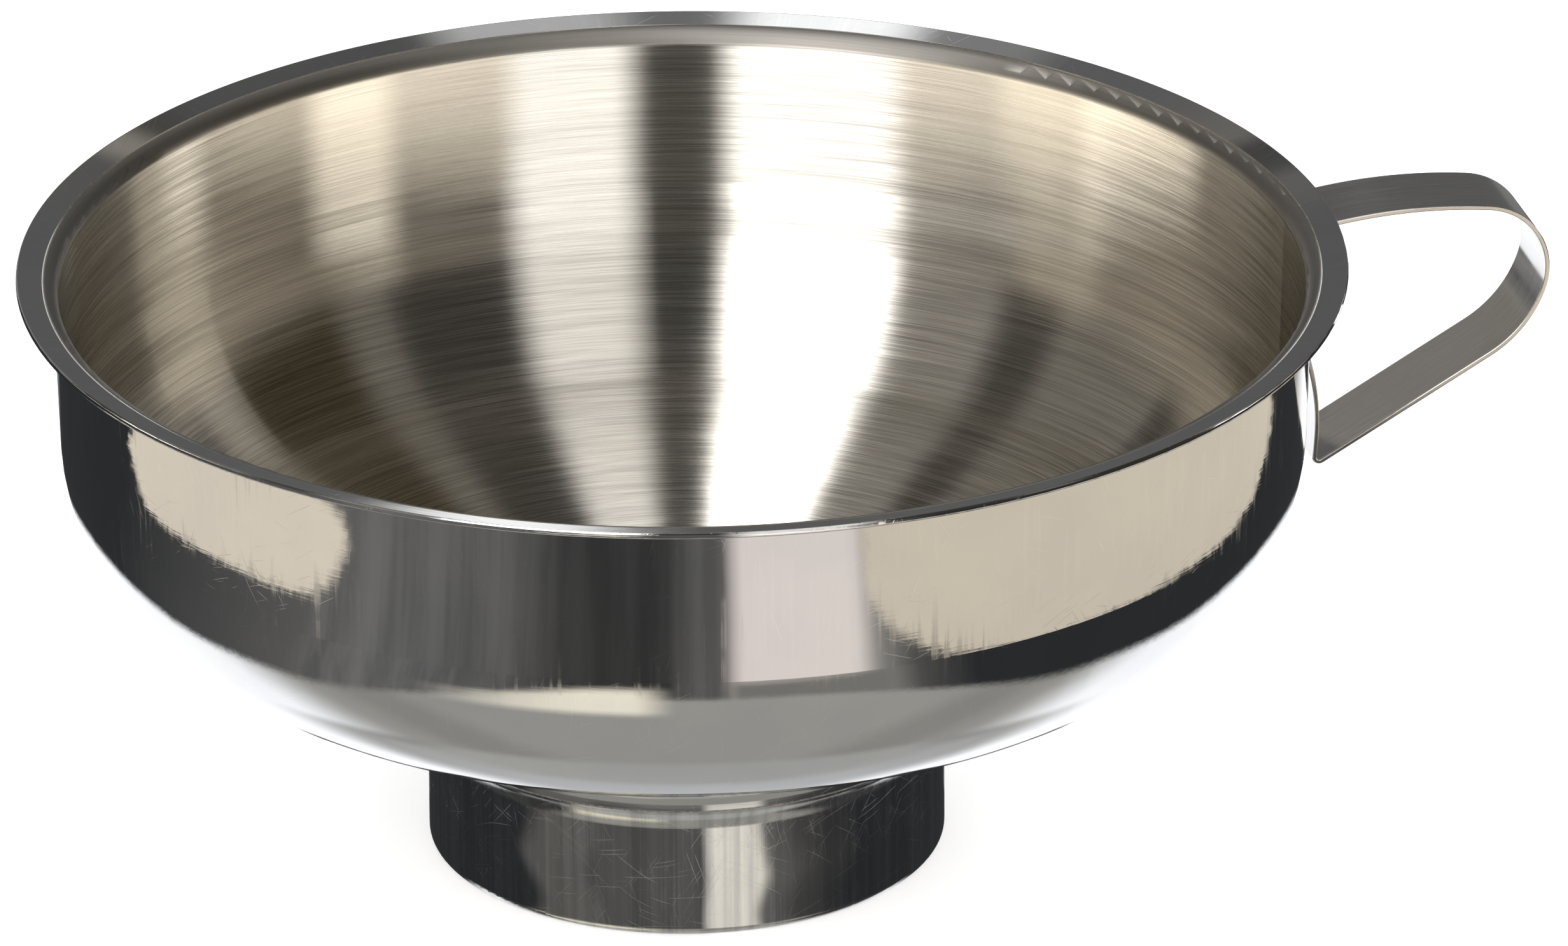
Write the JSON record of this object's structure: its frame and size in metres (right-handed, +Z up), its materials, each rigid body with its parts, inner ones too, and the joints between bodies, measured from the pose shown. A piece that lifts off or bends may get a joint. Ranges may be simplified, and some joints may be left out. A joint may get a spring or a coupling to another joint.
{
  "type": "canning funnel",
  "caption": "Round metal bowl with a flared lip that narrows to a short straight spout for filling wide jar mouths, with a bent flat strap handle at one side.",
  "frame": {"origin": "centre of the spout's lower end, which is the outlet opening", "axes": "+Z up along the spout's axis towards the open bowl, +X out along the handle"},
  "size_m": [0.1636, 0.14, 0.0655],
  "materials": {
    "bowl_steel": "brushed inside, mirror polished outside",
    "spout_steel": "mirror polished with fine vertical drawing lines and scratches",
    "seam_weld": "weld ground back flush",
    "strap_steel": "satin strip with bright cut edges",
    "spot_weld": "dull electrode mark"
  },
  "bodies": {
    "root": {"funnel_bowl": "bowl_steel", "spout_collar": "spout_steel", "neck_weld": "seam_weld", "handle_strap": "strap_steel", "spot_welds": "spot_weld"}
  },
  "joints": []
}
